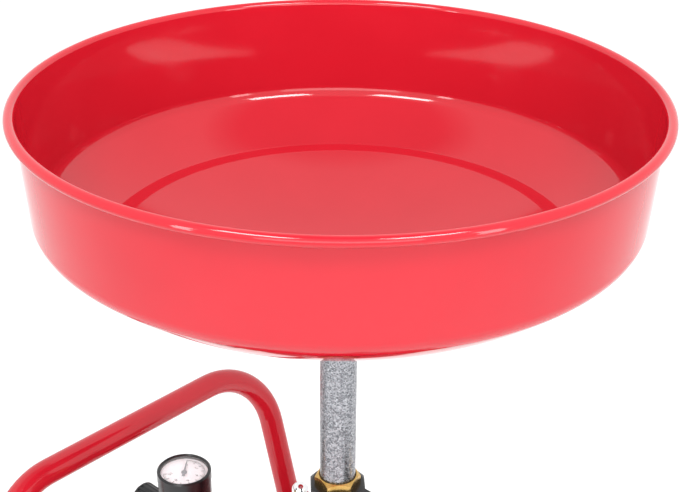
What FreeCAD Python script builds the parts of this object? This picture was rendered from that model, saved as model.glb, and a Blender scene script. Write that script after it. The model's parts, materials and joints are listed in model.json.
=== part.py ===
import FreeCAD, Part
import math
import os
from collections import namedtuple

import Sketcher
from FreeCAD import Placement, Rotation, Vector

# Roll-around oil drain: a catch pan on a telescoping pole over a wheeled pressure tank.
# Millimetres, +Z up, origin on the floor under the pole. The push bar lies along X, behind the tank at +Y.

doc = FreeCAD.newDocument("OilDrain")
sheet = doc.addObject("Spreadsheet::Sheet", "Sizes")


class Size:
    """A number that remembers the spreadsheet formula it was worked out with."""

    def __init__(self, value, formula):
        self.value = float(value)
        self.formula = formula

    def __add__(self, other):
        return joined(self, "+", other, self.value + number(other))

    def __radd__(self, other):
        return joined(other, "+", self, number(other) + self.value)

    def __sub__(self, other):
        return joined(self, "-", other, self.value - number(other))

    def __rsub__(self, other):
        return joined(other, "-", self, number(other) - self.value)

    def __mul__(self, other):
        return joined(self, "*", other, self.value * number(other))

    def __rmul__(self, other):
        return joined(other, "*", self, number(other) * self.value)

    def __truediv__(self, other):
        return joined(self, "/", other, self.value / number(other))

    def __rtruediv__(self, other):
        return joined(other, "/", self, number(other) / self.value)

    def __neg__(self):
        return Size(-self.value, f"(0 - {self.formula})")


def number(size):
    return size.value if isinstance(size, Size) else float(size)


def formula(size):
    return size.formula if isinstance(size, Size) else f"({float(size)!r})"


def joined(left, sign, right, value):
    return Size(value, f"({formula(left)} {sign} {formula(right)})")


def root(size):
    return Size(math.sqrt(number(size)), f"sqrt({formula(size)})")


def size(alias, value):
    """Write one driving dimension to the sheet under its name."""
    size.row += 1
    sheet.set(f"A{size.row}", alias)
    sheet.set(f"B{size.row}", str(value))
    sheet.setAlias(f"B{size.row}", alias)
    return Size(value, f"Sizes.{alias}")


size.row = 0

# Catch pan
pan_od = size("pan_od", 610)
pan_depth = size("pan_depth", 191)
pan_sheet = size("pan_sheet", 1.5)
pan_bead = size("pan_bead", 10)
pan_flare = size("pan_flare", 0.068)  # outward run of the wall per unit of height
bend_radius = size("bend_radius", 21)  # between the wall and the shoulder
shoulder_radius = size("shoulder_radius", 250)
shoulder_slope = size("shoulder_slope", 0.91)  # rise per unit of run where it leaves the bend
shoulder_run = size("shoulder_run", 115)  # from the ring to the middle of the shoulder's arc
ring_land = size("ring_land", 9)
ring_rise = size("ring_rise", 1.4)
dish_drop = size("dish_drop", 41)  # how far the hub lies below the ring
hub_margin = size("hub_margin", 4)
drain_radius = size("drain_radius", 24)
strainer_radius = size("strainer_radius", 33)
strainer_sheet = size("strainer_sheet", 1.2)

# Pan flange
flange_radius = size("flange_radius", 56)
flange_thick = size("flange_thick", 5)
flange_bolt_circle = size("flange_bolt_circle", 45)
socket_wall = size("socket_wall", 6.95)
socket_depth = size("socket_depth", 40)
gasket_thick = size("gasket_thick", 2)
screw_radius = size("screw_radius", 3)
screw_head = size("screw_head", 4)
screw_across = size("screw_across", 10)
screw_nut = size("screw_nut", 5)
screw_spare = size("screw_spare", 4)
screw_clearance = size("screw_clearance", 0.2)

# Telescoping pole and its gland
pole_od = size("pole_od", 38.1)
pole_wall = size("pole_wall", 2.6)
pole_length = size("pole_length", 840)
pan_lift = size("pan_lift", 241)
bush_length = size("bush_length", 60)
mast_play = size("mast_play", 1.05)
mast_wall = size("mast_wall", 2.4)
mast_rise = size("mast_rise", 99.4)
mast_drop = size("mast_drop", 660)
bung_wall = size("bung_wall", 12.5)
bung_height = size("bung_height", 14)
running_gap = size("running_gap", 0.05)
weld_gap = size("weld_gap", 0.05)
gland_wall = size("gland_wall", 3.5)
gland_grip = size("gland_grip", 32)
gland_shoulder = size("gland_shoulder", 4)
packing_depth = size("packing_depth", 30)
packing_height = size("packing_height", 14)
packing_wall = size("packing_wall", 2.2)
nut_inset = size("nut_inset", 4.5)  # how far the nut's flats lie inside the gland body
nut_height = size("nut_height", 22)
nut_gap = size("nut_gap", 1)
collar_wall = size("collar_wall", 7.5)
collar_height = size("collar_height", 11.5)
collar_step = size("collar_step", 1)
collar_chamfer = size("collar_chamfer", 3)
collar_arm = size("collar_arm", 86)
collar_arm_wide = size("collar_arm_wide", 22)
collar_grip_radius = size("collar_grip_radius", 11)

# Tank
tank_od = size("tank_od", 440)
tank_wall = size("tank_wall", 2.5)
tank_base = size("tank_base", 120)
barrel_length = size("barrel_length", 558)
crown_radius = size("crown_radius", 700)
knuckle_radius = size("knuckle_radius", 45)
skirt_radius = size("skirt_radius", 165)
skirt_wall = size("skirt_wall", 4)

# Wheeled base
rail = size("rail", 30)
rail_wall = size("rail_wall", 2)
rail_spread = size("rail_spread", 130)
wheel_od = size("wheel_od", 200)
wheel_wide = size("wheel_wide", 42)
wheel_inset = size("wheel_inset", 6)
rim_radius = size("rim_radius", 66)
axle_radius = size("axle_radius", 8)
axle_half = size("axle_half", 291)
cap_radius = size("cap_radius", 15)
caster_od = size("caster_od", 80)
caster_wide = size("caster_wide", 28)
caster_trail = size("caster_trail", 35)
caster_spread = size("caster_spread", 190)
caster_pin = size("caster_pin", 5)
kingpin_radius = size("kingpin_radius", 6)
fork_sheet = size("fork_sheet", 4)

# Push handle
handle_od = size("handle_od", 31.75)
handle_wall = size("handle_wall", 2)
handle_height = size("handle_height", 864.7)
handle_reach = size("handle_reach", 354)
handle_clear = size("handle_clear", 1)
handle_bend = size("handle_bend", 92)
handle_slope = size("handle_slope", 0.29)  # run towards the front per unit of drop
ear_sheet = size("ear_sheet", 4)
ear_low = size("ear_low", 430)
ear_high = size("ear_high", 540)
ear_bolt = size("ear_bolt", 4)

# Air side on the tank top
air_x = size("air_x", -84)
air_inset = size("air_inset", 66)
air_bung_x = size("air_bung_x", -30)
body_wide = size("body_wide", 44)
body_deep = size("body_deep", 40)
body_high = size("body_high", 46)
body_level = size("body_level", 869)
outlet_drop = size("outlet_drop", 9)
bonnet_radius = size("bonnet_radius", 17)
bonnet_length = size("bonnet_length", 24)
knob_radius = size("knob_radius", 16.5)
flute_radius = size("flute_radius", 1.7)
knob_length = size("knob_length", 36)
gauge_radius = size("gauge_radius", 30)
gauge_top = size("gauge_top", 945)
gauge_deep = size("gauge_deep", 33)
bezel_deep = size("bezel_deep", 12)
bezel_wall = size("bezel_wall", 1.5)
dial_sink = size("dial_sink", 5.2)
lens_sink = size("lens_sink", 3.2)
lens_thick = size("lens_thick", 1.4)
pipe_radius = size("pipe_radius", 10.6)
pipe_bore = size("pipe_bore", 7.6)
small_bung = size("small_bung", 17)
valve_length = size("valve_length", 46)
valve_radius = size("valve_radius", 15)
plug_length = size("plug_length", 36)
plug_nose = size("plug_nose", 6)

# Relief valve, dip tube and discharge
relief_x = size("relief_x", 50)
relief_y = size("relief_y", 105)
relief_top = size("relief_top", 878)
relief_radius = size("relief_radius", 10)
dip_x = size("dip_x", 90)
dip_y = size("dip_y", -90)
dip_foot = size("dip_foot", 145)
discharge_height = size("discharge_height", 56)
barb_length = size("barb_length", 44)
barb_radius = size("barb_radius", 9.5)

# Sight tube on the tank's front
sight_low = size("sight_low", 245)
sight_high = size("sight_high", 690)
sight_reach = size("sight_reach", 40)
sight_radius = size("sight_radius", 8)
sight_wall = size("sight_wall", 1.6)
float_radius = size("float_radius", 5.5)
float_gap = size("float_gap", 8)
doc.recompute()

# Levels and places that follow from the driving dimensions
tank_r = tank_od / 2
knuckle_run = tank_r - knuckle_radius
crown_reach = crown_radius - knuckle_radius
crown_drop = root(crown_reach * crown_reach - knuckle_run * knuckle_run)
seam_low = tank_base + crown_radius - crown_drop
seam_high = seam_low + barrel_length
crown_top = seam_high + crown_radius - crown_drop
mast_top = crown_top + mast_rise
gland_top = mast_top + gland_shoulder + packing_depth
nut_top = gland_top + nut_gap + nut_height
pan_base = nut_top + pan_lift
flange_top = pan_base - gasket_thick
pole_top = flange_top - flange_thick / 2
pole_r = pole_od / 2
air_y = tank_r - air_inset
mast_r = pole_r + mast_play + mast_wall
mast_od = 2 * mast_r
socket_radius = pole_r + socket_wall
mast_bung_radius = mast_r + bung_wall
gland_radius = mast_r + gland_wall
nut_across = 2 * (gland_radius - nut_inset)
collar_across = nut_across + 2 * collar_wall
handle_half = tank_r + handle_clear
axle_level = wheel_od / 2
axle_y = handle_reach - handle_slope * (handle_height - axle_level)
caster_y = caster_trail + caster_od / 2 - handle_reach - handle_od / 2
rail_top = tank_base - 5

NUT_SPIN = 17  # degrees that the nut is turned from having a corner on +X
POINTER_REST = 40  # degrees from +X towards +Y: the dial's zero, read from behind the push bar

ALONG = {
    "X": Rotation(Vector(0, 1, 0), 90),
    "-X": Rotation(Vector(0, 1, 0), -90),
    "Y": Rotation(Vector(1, 0, 0), -90),
    "-Y": Rotation(Vector(1, 0, 0), 90),
    "Z": Rotation(),
    "-Z": Rotation(Vector(1, 0, 0), 180),
}

pieces = []


def keep(thing, label):
    """Name a finished piece and list it for writing."""
    thing.Label = label
    pieces.append(thing)
    return thing


def bind(thing, name, length):
    """Set a property and tie it to the sheet."""
    setattr(thing, name, number(length))
    if isinstance(length, Size):
        thing.setExpression(name, length.formula)


def place(thing, at, turn=None):
    """Place a thing at a point whose coordinates are tied to the sheet."""
    thing.Placement = Placement(Vector(*[number(c) for c in at]), turn or Rotation())
    for axis, coordinate in zip("xyz", at):
        if isinstance(coordinate, Size):
            thing.setExpression(f"Placement.Base.{axis}", coordinate.formula)
    return thing


def box(lengths, at, turn=None):
    thing = doc.addObject("Part::Box", "Block")
    for name, length in zip(("Length", "Width", "Height"), lengths):
        bind(thing, name, length)
    return place(thing, at, turn)


def centred_box(lengths, at):
    """A block centred on a point in X and Y, standing on it in Z."""
    return box(lengths, (at[0] - lengths[0] / 2, at[1] - lengths[1] / 2, at[2]))


def rod(radius, length, at, along="Z"):
    thing = doc.addObject("Part::Cylinder", "Rod")
    bind(thing, "Radius", radius)
    bind(thing, "Height", length)
    return place(thing, at, ALONG[along])


def taper(radius_low, radius_high, length, at, along="Z"):
    thing = doc.addObject("Part::Cone", "Taper")
    bind(thing, "Radius1", radius_low)
    bind(thing, "Radius2", radius_high)
    bind(thing, "Height", length)
    return place(thing, at, ALONG[along])


def ball(radius, at):
    thing = doc.addObject("Part::Sphere", "Ball")
    bind(thing, "Radius", radius)
    return place(thing, at)


def prism(across_flats, length, at, along="Z", sides=6, spin=0):
    """A bar of hexagonal or octagonal section, its size given across its flats."""
    thing = doc.addObject("Part::Prism", "Bar")
    thing.Polygon = sides
    bind(thing, "Circumradius", across_flats / (2 * math.cos(math.pi / sides)))
    bind(thing, "Height", length)
    return place(thing, at, ALONG[along].multiply(Rotation(Vector(0, 0, 1), spin)))


def cut(base, *tools):
    for tool in tools:
        result = doc.addObject("Part::Cut", "Cut")
        result.Base = base
        result.Tool = tool
        base = result
    return base


def fuse(*parts):
    result = doc.addObject("Part::MultiFuse", "Fuse")
    result.Shapes = list(parts)
    return result


def common(first, second):
    result = doc.addObject("Part::Common", "Common")
    result.Base = first
    result.Tool = second
    return result


def group(*parts):
    result = doc.addObject("Part::Compound", "Group")
    result.Links = list(parts)
    return result


def tube(outer, inner, length, at, along="Z"):
    return cut(rod(outer, length, at, along), rod(inner, length, at, along))


# Outlines: each step ends at (x, y), by a straight line or by an arc about (cx, cy).
To = namedtuple("To", "x y")
Arc = namedtuple("Arc", "x y cx cy turn")


def fix(sketch, kind, geometry, point, length):
    """Hold one coordinate of a sketch point at a size measured from the sketch's origin."""
    index = sketch.addConstraint(Sketcher.Constraint(kind, -1, 1, geometry, point, number(length)))
    sketch.setExpression(f"Constraints[{index}]", formula(length))


def draw(sketch, outline):
    """Draw a closed outline, with every corner and one coordinate of every arc centre tied to the sheet."""
    ends = []
    for step, before in zip(outline, outline[-1:] + outline[:-1]):
        first = Vector(number(before.x), number(before.y), 0)
        last = Vector(number(step.x), number(step.y), 0)
        if isinstance(step, To):
            sketch.addGeometry(Part.LineSegment(first, last), False)
            ends.append((1, 2))
            continue
        centre = Vector(number(step.cx), number(step.cy), 0)
        start = math.atan2(first.y - centre.y, first.x - centre.x)
        stop = math.atan2(last.y - centre.y, last.x - centre.x)
        if step.turn < 0:
            start, stop = stop, start
        if stop <= start:
            stop += 2 * math.pi
        circle = Part.Circle(centre, Vector(0, 0, 1), (first - centre).Length)
        sketch.addGeometry(Part.ArcOfCircle(circle, start, stop), False)
        ends.append((1, 2) if step.turn > 0 else (2, 1))
    for index, step in enumerate(outline):
        following = (index + 1) % len(outline)
        sketch.addConstraint(
            Sketcher.Constraint("Coincident", index, ends[index][1], following, ends[following][0])
        )
        fix(sketch, "DistanceX", index, ends[index][1], step.x)
        fix(sketch, "DistanceY", index, ends[index][1], step.y)
        if isinstance(step, Arc):
            before = outline[index - 1]
            upright = abs(number(step.y) - number(before.y)) > abs(number(step.x) - number(before.x))
            fix(sketch, "DistanceX" if upright else "DistanceY", index, 3, step.cx if upright else step.cy)


def new_body(name):
    return doc.addObject("PartDesign::Body", name)


def sketch_on(body, role, name):
    sketch = body.newObject("Sketcher::SketchObject", name)
    for feature in body.Origin.OriginFeatures:
        if feature.Role == role:
            sketch.AttachmentSupport = [(feature, "")]
    sketch.MapMode = "FlatFace"
    return sketch


def circle_in(sketch, radius, x=0, y=0):
    """A full circle with its radius and centre tied to the sheet."""
    centre = Vector(number(x), number(y), 0)
    index = sketch.addGeometry(Part.Circle(centre, Vector(0, 0, 1), number(radius)), False)
    held = sketch.addConstraint(Sketcher.Constraint("Radius", index, number(radius)))
    sketch.setExpression(f"Constraints[{held}]", formula(radius))
    fix(sketch, "DistanceX", index, 3, x)
    fix(sketch, "DistanceY", index, 3, y)


def turned(name, outline, at, along="Z"):
    """A lathe-turned body: a half section in radius and height, spun about the body's own Z."""
    body = new_body(name)
    sketch = sketch_on(body, "XZ_Plane", "HalfSection")
    draw(sketch, outline)
    spin = body.newObject("PartDesign::Revolution", "Spin")
    spin.Profile = sketch
    spin.ReferenceAxis = (sketch, ["V_Axis"])
    spin.Angle = 360
    body.Tip = spin
    return place(body, at, ALONG[along])


def padded(name, outline, thick, role, at, turn=None):
    """A flat plate cut to an outline, lying on one of its body's planes."""
    body = new_body(name)
    sketch = sketch_on(body, role, "Outline")
    draw(sketch, outline)
    pad = body.newObject("PartDesign::Pad", "Plate")
    pad.Profile = sketch
    bind(pad, "Length", thick)
    body.Tip = pad
    return place(body, at, turn)


def around(count, radius, make):
    """Copies of one thing evenly round the Z axis, each made at its own x and y."""
    copies = []
    for index in range(count):
        angle = 2 * math.pi * (index + 0.5) / count
        copies.append(make(radius * math.cos(angle), radius * math.sin(angle)))
    return copies


# ---------------------------------------------------------------- catch pan


def screw_holes(foot, length):
    """Tools for the six clearance holes through the pan floor, the gasket and the flange."""
    radius = screw_radius + screw_clearance
    return fuse(*around(6, flange_bolt_circle, lambda x, y: rod(radius, length, (x, y, foot))))


def pan_skin(sheet):
    """One skin of the bowl, from hub to wall top, so far in from the outside."""
    lean = root(1 + pan_flare * pan_flare)
    steep = root(1 + shoulder_slope * shoulder_slope)
    bead_r = pan_bead / 2
    wall_x = pan_od / 2 - pan_bead + pan_sheet - sheet
    wall_y = pan_depth - bead_r
    bend = bend_radius - sheet
    down_x = shoulder_slope / steep
    down_y = 1 / steep
    far = shoulder_radius - bend_radius
    ring_top = dish_drop + ring_rise
    shoulder_y = ring_top + root(shoulder_radius * shoulder_radius - shoulder_run * shoulder_run)
    bend_level = shoulder_y - far * down_y
    wall_run = pan_flare * (wall_y - bend_level)
    bend_x = pan_od / 2 - pan_bead + pan_sheet - wall_run - bend_radius * lean
    shoulder_x = bend_x - far * down_x
    shoulder = shoulder_radius - sheet
    hub = flange_radius + hub_margin
    ring_radius = shoulder_x + shoulder_run
    ring_in = ring_radius - ring_land
    centre_rise = (ring_in * ring_in - hub * hub - dish_drop * dish_drop) / (2 * dish_drop)
    dish_y = dish_drop + centre_rise
    dish_radius = root(centre_rise * centre_rise + ring_in * ring_in)
    dish = dish_radius - sheet
    return [
        To(drain_radius, sheet),
        To(root(dish * dish - (dish_y - sheet) * (dish_y - sheet)), sheet),
        Arc(ring_in, dish_y - root(dish * dish - ring_in * ring_in), 0, dish_y, 1),
        To(ring_radius, shoulder_y - root(shoulder * shoulder - shoulder_run * shoulder_run)),
        Arc(bend_x + bend * down_x, bend_level - bend * down_y, shoulder_x, shoulder_y, 1),
        Arc(bend_x + bend / lean, bend_level - bend * pan_flare / lean, bend_x, bend_level, 1),
        To(wall_x, wall_y),
    ]


def backwards(outline):
    """The same outline run from its last point to its first, without the starting point."""
    turned_round = []
    for step, before in zip(outline[:0:-1], outline[-2::-1]):
        if isinstance(step, Arc):
            turned_round.append(Arc(before.x, before.y, step.cx, step.cy, -step.turn))
        else:
            turned_round.append(To(before.x, before.y))
    return turned_round


def pan_bowl():
    """Spun sheet bowl: dished floor, ring, sloping shoulder, flared wall and rolled rim bead."""
    bead_r = pan_bead / 2
    bead_x = pan_od / 2 - bead_r
    bead_y = pan_depth - bead_r
    curl = bead_r - pan_sheet
    half = 0.5
    high = math.sqrt(3) / 2
    outline = [
        *pan_skin(0),
        Arc(bead_x - half * curl, bead_y - high * curl, bead_x, bead_y, -1),
        To(bead_x - half * bead_r, bead_y - high * bead_r),
        Arc(bead_x - bead_r, bead_y, bead_x, bead_y, 1),
        *backwards(pan_skin(pan_sheet)),
    ]
    bowl = turned("Bowl", outline, (0, 0, pan_base))
    keep(cut(bowl, screw_holes(pan_base - pan_sheet, 4 * pan_sheet)), "pan_bowl")


def drain_strainer():
    """Perforated disc that lies over the drain hole, held by its turned-down rim."""
    body = new_body("Strainer")
    sketch = sketch_on(body, "XY_Plane", "Disc")
    circle_in(sketch, strainer_radius)
    disc = body.newObject("PartDesign::Pad", "DiscPad")
    disc.Profile = sketch
    bind(disc, "Length", strainer_sheet)
    hole_radius = strainer_radius / 15
    doc.recompute()
    for ring, count in ((1, 6), (2, 12), (3, 18)):
        hole = sketch_on(body, "XY_Plane", f"Hole{ring}")
        circle_in(hole, hole_radius, strainer_radius * ring / 4.2, 0)
        pocket = body.newObject("PartDesign::Pocket", f"Punch{ring}")
        pocket.Profile = hole
        pocket.Type = 1
        pocket.Midplane = True
        doc.recompute()
        pattern = body.newObject("PartDesign::PolarPattern", f"Ring{ring}")
        pattern.Originals = [pocket]
        pattern.Axis = (hole, ["N_Axis"])
        pattern.Angle = 360
        pattern.Occurrences = count
        body.Tip = pattern
        doc.recompute()
    keep(place(body, (0, 0, pan_base + pan_sheet)), "drain_strainer")


def pan_flange():
    """Cast flange under the pan, with the socket that takes the pole."""
    outline = [
        To(pole_r - pole_wall, 0),
        To(flange_radius, 0),
        To(flange_radius, -flange_thick),
        To(socket_radius + 5, -flange_thick),
        To(socket_radius, -flange_thick - 5),
        To(socket_radius, -socket_depth),
        To(pole_r + weld_gap, -socket_depth),
        To(pole_r + weld_gap, -flange_thick / 2 + weld_gap),
        To(pole_r - pole_wall, -flange_thick / 2 + weld_gap),
    ]
    flange = turned("Flange", outline, (0, 0, flange_top))
    keep(cut(flange, screw_holes(flange_top - 2 * flange_thick, 3 * flange_thick)), "pan_flange")
    gasket = tube(flange_radius, drain_radius, gasket_thick, (0, 0, flange_top))
    keep(cut(gasket, screw_holes(flange_top - gasket_thick, 3 * gasket_thick)), "flange_gasket")


def flange_fasteners():
    """Six screws down through the pan floor and their nuts under the flange."""
    floor_top = pan_base + pan_sheet
    nut_foot = flange_top - flange_thick - screw_nut
    shank_foot = nut_foot - screw_spare

    def screw(x, y):
        shank = rod(screw_radius, floor_top - shank_foot, (x, y, shank_foot))
        return fuse(shank, prism(screw_across, screw_head, (x, y, floor_top)))

    def nut(x, y):
        body = prism(screw_across, screw_nut, (x, y, nut_foot))
        return cut(body, rod(screw_radius + running_gap, screw_nut, (x, y, nut_foot)))

    keep(group(*around(6, flange_bolt_circle, screw)), "flange_screws")
    keep(group(*around(6, flange_bolt_circle, nut)), "flange_nuts")


def pole():
    """Inner pole: the tube that carries the pan and drains it."""
    foot = pole_top - pole_length
    keep(tube(pole_r, pole_r - pole_wall, pole_length, (0, 0, foot)), "inner_pole")
    bush = tube(
        mast_r - mast_wall - running_gap, pole_r + running_gap, bush_length, (0, 0, foot + 4)
    )
    keep(bush, "guide_bush")


# ---------------------------------------------------------------- mast and gland


def mast():
    """Outer mast tube through the tank top, with the welded bung that holds it."""
    length = mast_drop + mast_rise
    foot = mast_top - length
    pipe = tube(mast_r, mast_r - mast_wall, length, (0, 0, foot))
    slots = [
        box((mast_od + 4, 12, 40), (-mast_r - 2, -6, foot + 12)),
        box((12, mast_od + 4, 40), (-6, -mast_r - 2, foot + 12)),
    ]
    keep(cut(pipe, *slots), "mast_tube")
    outline = [
        To(mast_r + weld_gap, -bung_height),
        To(mast_bung_radius, -bung_height),
        To(mast_bung_radius, bung_height - 3),
        To(mast_bung_radius - 3, bung_height),
        To(mast_r + weld_gap, bung_height),
    ]
    keep(turned("MastBung", outline, (0, 0, crown_top)), "mast_bung")


def gland():
    """Gland body on the mast, its packing ring, the brass nut that squeezes it and the lever collar."""
    bore = pole_r + 2 * running_gap
    chamber = bore + packing_wall
    packing_foot = mast_top + gland_shoulder
    outline = [
        To(mast_r + weld_gap, -gland_grip),
        To(gland_radius - 2, -gland_grip),
        To(gland_radius, 2 - gland_grip),
        To(gland_radius, gland_top - mast_top),
        To(chamber, gland_top - mast_top),
        To(chamber, gland_shoulder),
        To(bore, gland_shoulder),
        To(bore, weld_gap),
        To(mast_r + weld_gap, weld_gap),
    ]
    keep(turned("GlandBody", outline, (0, 0, mast_top)), "gland_body")
    keep(
        tube(chamber - running_gap, pole_r + running_gap, packing_height, (0, 0, packing_foot)),
        "gland_packing",
    )
    hex_foot = nut_top - nut_height
    sleeve = packing_depth + nut_gap - packing_height - 1
    corner = nut_across / (2 * math.cos(math.pi / 6))
    head = prism(nut_across, nut_height, (0, 0, hex_foot), "Z", 6, NUT_SPIN)
    crown = turned(
        "NutCrown",
        [
            To(0, 0),
            To(corner + 1, 0),
            To(corner + 1, nut_height - 5),
            To(nut_across / 2 - 0.6, nut_height),
            To(0, nut_height),
        ],
        (0, 0, hex_foot),
    )
    shank = rod(chamber - running_gap, sleeve + 1, (0, 0, hex_foot - sleeve))
    nut = fuse(common(head, crown), shank)
    lead = taper(bore, bore + 0.9, 1.2, (0, 0, nut_top - 1.2))
    nut = cut(nut, rod(bore, nut_height + sleeve, (0, 0, hex_foot - sleeve)), lead)
    keep(nut, "gland_nut")

    collar_foot = hex_foot + 0.5
    collar_r = collar_across / 2
    arm_start = collar_r - 4
    ring = prism(collar_across, collar_height, (0, 0, collar_foot), "Z", 8, 22.5)
    crown = turned(
        "CollarCrown",
        [
            To(0, 0),
            To(collar_r + collar_chamfer, 0),
            To(collar_r + collar_chamfer, collar_height - collar_chamfer),
            To(collar_r - collar_chamfer / 2, collar_height),
            To(0, collar_height),
        ],
        (0, 0, collar_foot),
    )
    arm = box(
        (collar_arm_wide, collar_arm - arm_start, collar_height - collar_step),
        (-collar_arm_wide / 2, -collar_arm, collar_foot),
    )
    across = nut_across + 2 * running_gap
    socket = prism(across, collar_height + 2, (0, 0, collar_foot - 1), "Z", 6, NUT_SPIN)
    keep(cut(fuse(common(ring, crown), arm), socket), "lock_collar")
    grip_foot = -collar_arm - 46
    grip = turned(
        "Grip",
        [
            To(0, 0),
            To(collar_grip_radius - 3, 0),
            To(collar_grip_radius, 3),
            To(collar_grip_radius, 40),
            To(collar_grip_radius - 3, 46),
            To(0, 46),
        ],
        (0, grip_foot, collar_foot + (collar_height - collar_step) / 2),
        "Y",
    )
    keep(grip, "collar_grip")


# ---------------------------------------------------------------- tank


def head_outline(bore):
    """Half section of a dished head: crown arc, knuckle arc, open at the bore."""
    run = knuckle_run / crown_reach
    rise = crown_drop / crown_reach
    inside = crown_radius - tank_wall
    outer_top = root(crown_radius * crown_radius - bore * bore) - crown_drop
    inner_top = root(inside * inside - bore * bore) - crown_drop
    return [
        To(tank_r, 0),
        Arc(run * crown_radius, rise * crown_radius - crown_drop, knuckle_run, 0, 1),
        Arc(bore, outer_top, 0, -crown_drop, 1),
        To(bore, inner_top),
        Arc(run * inside, rise * inside - crown_drop, 0, -crown_drop, -1),
        Arc(tank_r - tank_wall, 0, knuckle_run, 0, -1),
    ]


def bung_level(x, y):
    """Height of the top head's outside over a point."""
    return seam_high + root(crown_radius * crown_radius - x * x - y * y) - crown_drop


def tank():
    barrel = tube(tank_r, tank_r - tank_wall, barrel_length, (0, 0, seam_low))
    ports = [
        rod(small_bung - 3 + weld_gap, 60, (0, 30 - tank_r, level), "-Y")
        for level in (sight_low, sight_high)
    ]
    keep(cut(barrel, *ports), "tank_barrel")
    top = turned("TopHead", head_outline(mast_bung_radius + weld_gap), (0, 0, seam_high))
    ports = [
        rod(small_bung + weld_gap, 120, (x, y, seam_high))
        for x, y in ((air_bung_x, air_y), (relief_x, relief_y), (dip_x, dip_y))
    ]
    keep(cut(top, *ports), "top_head")
    bottom = turned("BottomHead", head_outline(0), (0, 0, seam_low), "-Z")
    keep(bottom, "bottom_head")


def bungs():
    """Welded pipe bungs: three on the tank top and two for the sight tube."""
    upright = []
    for x, y in ((air_bung_x, air_y), (relief_x, relief_y), (dip_x, dip_y)):
        foot = bung_level(x, y) - bung_height
        upright.append(tube(small_bung, pipe_radius + weld_gap, 2 * bung_height, (x, y, foot)))
    level = []
    for height in (sight_low, sight_high):
        level.append(tube(small_bung - 3, sight_radius + weld_gap, 18, (0, 8 - tank_r, height), "-Y"))
    keep(group(*upright, *level), "tank_bungs")


def skirt():
    """Support ring between the base rails and the bottom head."""
    inside = skirt_radius - skirt_wall
    surface = crown_drop + seam_low - root(crown_radius * crown_radius - inside * inside)
    height = surface - rail_top - weld_gap
    keep(tube(skirt_radius, inside, height, (0, 0, rail_top)), "skirt_ring")


# ---------------------------------------------------------------- base and wheels


def square_tube(lengths, at, along):
    """Square tube with its wall, open at both ends of the given direction."""
    hollow = [length - 2 * rail_wall for length in lengths]
    start = [c + rail_wall for c in at]
    hollow["XYZ".index(along)] = lengths["XYZ".index(along)]
    start["XYZ".index(along)] = at["XYZ".index(along)]
    return cut(box(lengths, at), box(hollow, start))


def base():
    """Welded base: two rails under the tank, a front cross tube for the casters and a rear one."""
    front = caster_y - rail / 2
    long_run = axle_y + 25 - front
    rails = []
    for side in (-1, 1):
        corner = (side * rail_spread - rail / 2, front, rail_top - rail)
        rails.append(square_tube((rail, long_run, rail), corner, "Y"))
    rear = square_tube(
        (2 * rail_spread - rail, rail, rail), (rail / 2 - rail_spread, axle_y - 70, rail_top - rail), "X"
    )
    cross = square_tube(
        (2 * caster_spread + 70, rail, rail), (-caster_spread - 35, front, rail_top), "X"
    )
    bore = rod(axle_radius + weld_gap, 2 * axle_half, (-axle_half, axle_y, axle_level), "X")
    keep(cut(fuse(*rails, rear, cross), bore), "base_frame")
    keep(rod(axle_radius, 2 * axle_half, (-axle_half, axle_y, axle_level), "X"), "axle_rod")
    caps = []
    for side, along in ((-1, "-X"), (1, "X")):
        cap = rod(cap_radius, 12, (side * (axle_half - 6), axle_y, axle_level), along)
        socket = rod(axle_radius + weld_gap, 6.1, (side * (axle_half - 6), axle_y, axle_level), along)
        caps.append(cut(cap, socket))
    keep(group(*caps), "axle_caps")


def rear_wheel(side, word):
    """Pressed wheel with a hub tube and a solid rubber tyre."""
    half = wheel_wide / 2
    centre = axle_half - 8 - half
    hub = 16
    bore = axle_radius + running_gap
    web = 3
    disc = 7
    rim_outline = [
        To(bore, -half),
        To(hub, -half),
        To(hub, -disc),
        To(rim_radius - 14, -disc),
        To(rim_radius - 9, wheel_inset - half),
        To(rim_radius, wheel_inset - half),
        To(rim_radius, half - wheel_inset),
        To(rim_radius - 6, half - wheel_inset),
        To(rim_radius - 10, web - disc),
        To(hub, web - disc),
        To(hub, half),
        To(bore, half),
    ]
    tread = wheel_od / 2
    seat = rim_radius + weld_gap
    shoulder = 10
    tyre_outline = [
        To(seat, wheel_inset - half + 2),
        To(seat + 12, -half),
        To(tread - shoulder, -half),
        Arc(tread, shoulder - half, tread - shoulder, shoulder - half, 1),
        To(tread, half - shoulder),
        Arc(tread - shoulder, half, tread - shoulder, half - shoulder, 1),
        To(seat + 12, half),
        To(seat, half - wheel_inset - 2),
    ]
    along = "X" if side > 0 else "-X"
    at = (side * centre, axle_y, axle_level)
    keep(turned("Rim", rim_outline, at, along), f"{word}_wheel_rim")
    keep(turned("Tyre", tyre_outline, at, along), f"{word}_tyre")


def casters():
    """Top plates with kingpins, then each side's fork, axle pin and wheel."""
    plate_top = rail_top
    plates = []
    for side in (-1, 1):
        x = side * caster_spread
        plate = centred_box((64, 52, fork_sheet), (x, caster_y, plate_top - fork_sheet))
        race = rod(20, 5, (x, caster_y, plate_top - fork_sheet - 5))
        kingpin = rod(kingpin_radius, 12, (x, caster_y, plate_top - fork_sheet - 15))
        head = rod(kingpin_radius + 4, 3, (x, caster_y, plate_top - fork_sheet - 14.5))
        plates.append(fuse(plate, race, kingpin, head))
    keep(group(*plates), "caster_plates")
    for side, word in ((-1, "left"), (1, "right")):
        caster_fork(side * caster_spread, word, plate_top - fork_sheet - 5.3)


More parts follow.
